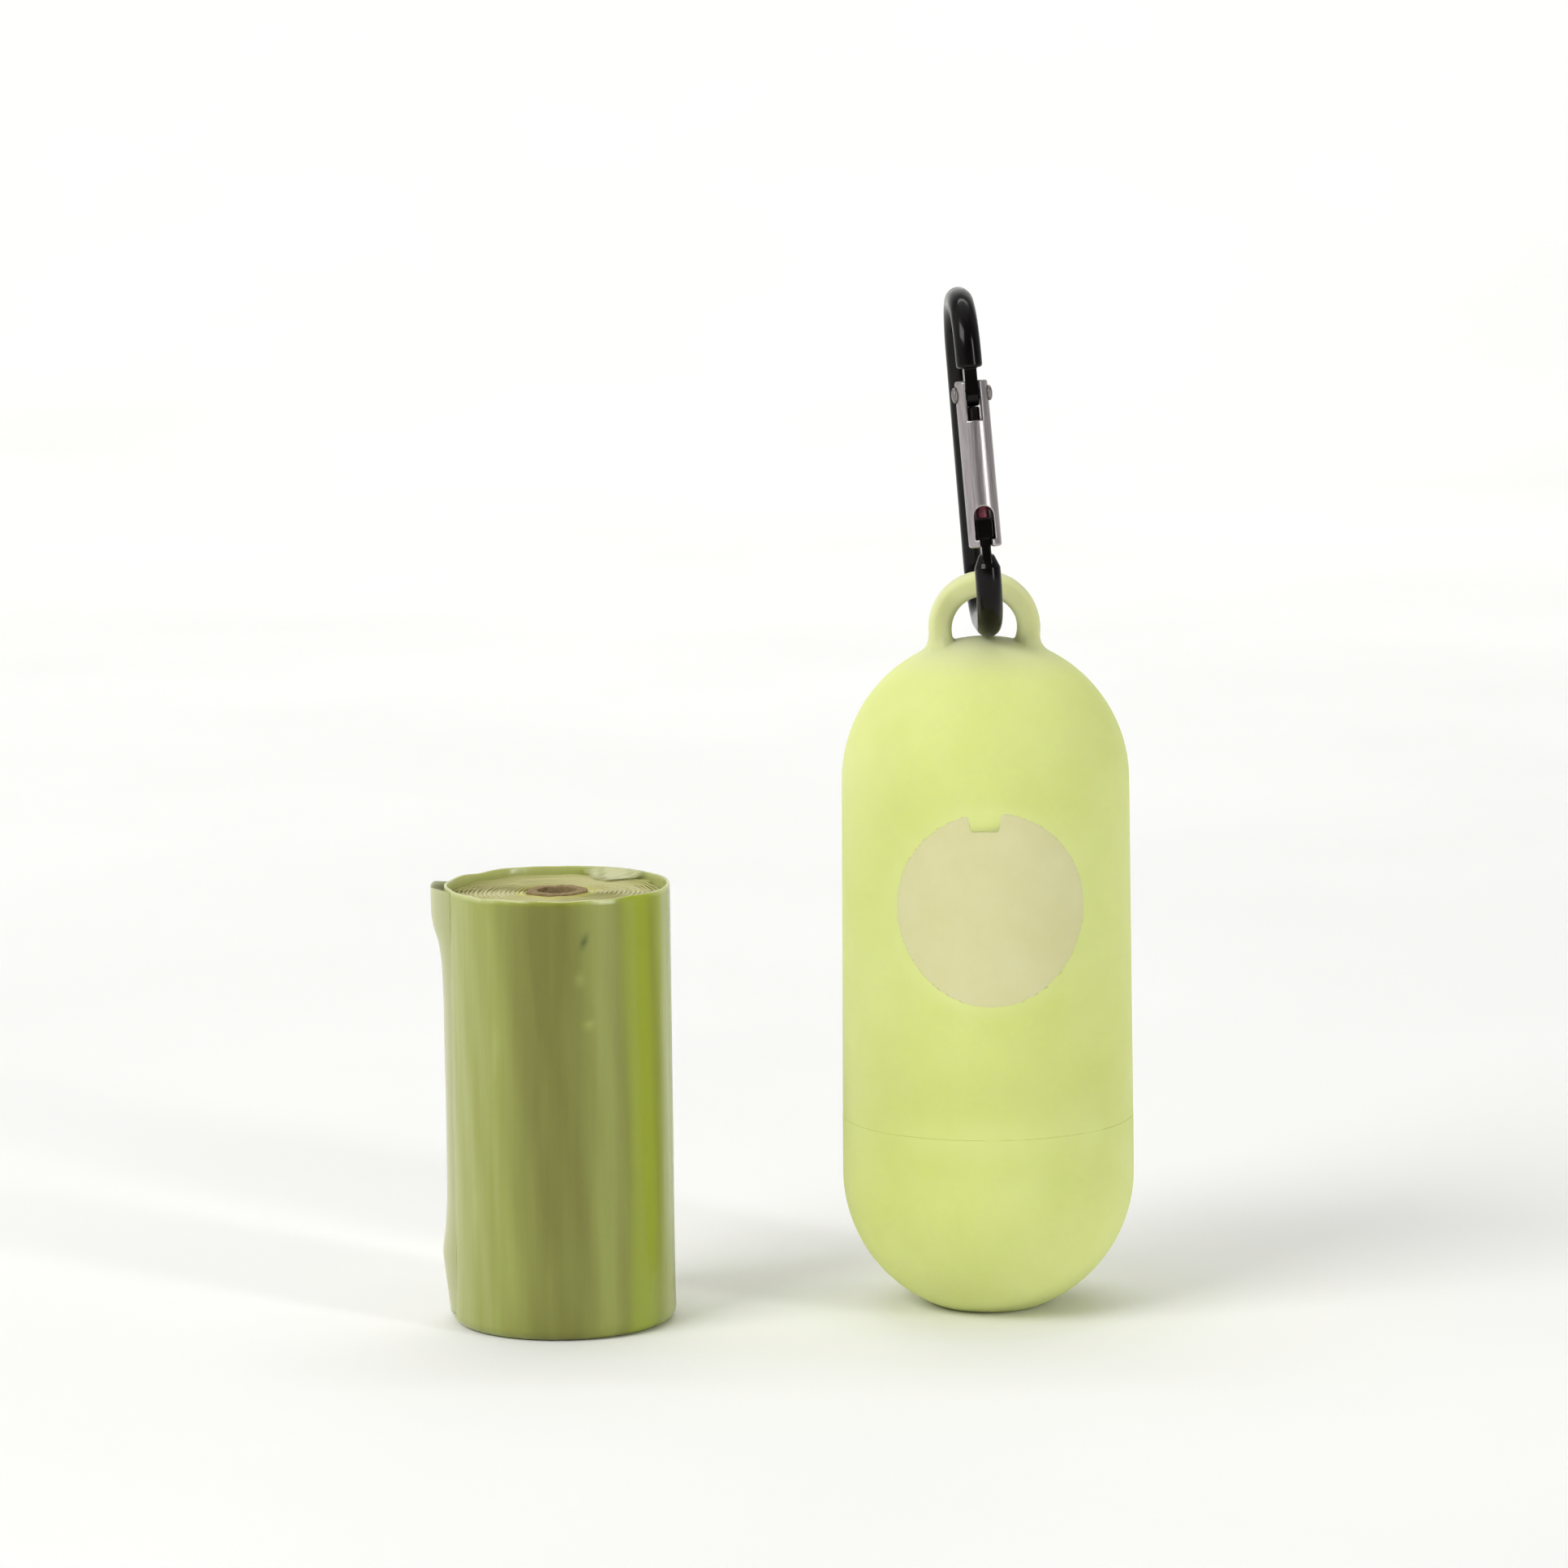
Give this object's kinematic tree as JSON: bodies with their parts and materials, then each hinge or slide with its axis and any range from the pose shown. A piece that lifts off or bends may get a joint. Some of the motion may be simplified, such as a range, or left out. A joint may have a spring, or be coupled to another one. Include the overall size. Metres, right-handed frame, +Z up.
{
  "type": "pet waste bag dispenser",
  "caption": "Soft two-part capsule that holds a roll of pet waste bags, with an outlet slot, a spring-gate clip through the ear on its dome and a refill roll standing beside it.",
  "frame": {"origin": "centre of the flat round foot that the capsule stands on", "axes": "+Z up along the capsule's axis, -Y towards the front disc, +X to the right as seen from the front; the refill roll stands on the -X side"},
  "size_m": [0.0954, 0.0488, 0.1393],
  "materials": {
    "lime_silicone": "matte",
    "cream_disc": "matte",
    "black_enamel": "gloss",
    "bare_aluminium": "satin",
    "steel": "satin",
    "dark_steel": "satin",
    "crimson_plastic": "gloss",
    "kraft_board": "matte",
    "green_film": "satin",
    "outer_film": "gloss"
  },
  "bodies": {
    "cup": {"bottom_cup": "lime_silicone"},
    "sleeve": {"sleeve_shell": "lime_silicone", "front_disc": "cream_disc"},
    "clip": {"carabiner_frame": "black_enamel"},
    "gate": {"carabiner_gate": "bare_aluminium", "hinge_rivet": "steel", "gate_spring": "steel", "spring_stop": "crimson_plastic"},
    "plunger": {"gate_plunger": "dark_steel"},
    "roll": {"loaded_core": "kraft_board", "loaded_windings": "green_film"},
    "tail": {"bag_tail": "green_film"},
    "refill": {"refill_core": "kraft_board", "refill_windings": "green_film", "refill_outer_wrap": "outer_film", "refill_loose_end": "outer_film"}
  },
  "joints": [
    {"name": "sleeve_lift", "type": "slide", "parent": "cup", "child": "sleeve", "axis": [0, 0, 1], "range_m": [0, 0.06]},
    {"name": "carabiner_swing", "type": "hinge", "parent": "sleeve", "child": "clip", "pos_m": [0.0003, 0, 0.09403], "axis": [-0.0558, 0.9984, 0], "range_deg": [-95, 100]},
    {"name": "gate_swing", "type": "hinge", "parent": "clip", "child": "gate", "pos_m": [-0.00167, -0.00742, 0.12563], "axis": [0.9956, 0.0557, 0.075], "range_deg": [0, 28], "stiffness_Nm_per_rad": 0.02, "springref_deg": -34.38},
    {"name": "plunger_push", "type": "slide", "parent": "gate", "child": "plunger", "axis": [0.0792, -0.0776, -0.9938], "range_m": [0, 0.00025], "deforming": ["gate_spring"]},
    {"name": "bag_pull", "type": "slide", "parent": "cup", "child": "tail", "axis": [-0.791, 0.6118, 0], "range_m": [0, 0.008]},
    {"name": "roll_spin", "type": "hinge", "parent": "cup", "child": "roll", "pos_m": [0, 0, 0.0375], "axis": [0, 0, 1], "range_deg": [0, 33]},
    {"name": "refill_lift", "type": "slide", "parent": "cup", "child": "refill", "axis": [0, 0, 1], "range_m": [0, 0.025]}
  ],
  "couplings": [
    {"joint": "plunger_push", "follows": "gate_swing", "m_per_rad": 0.0005},
    {"joint": "roll_spin", "follows": "bag_pull", "rad_per_m": 71.429}
  ]
}
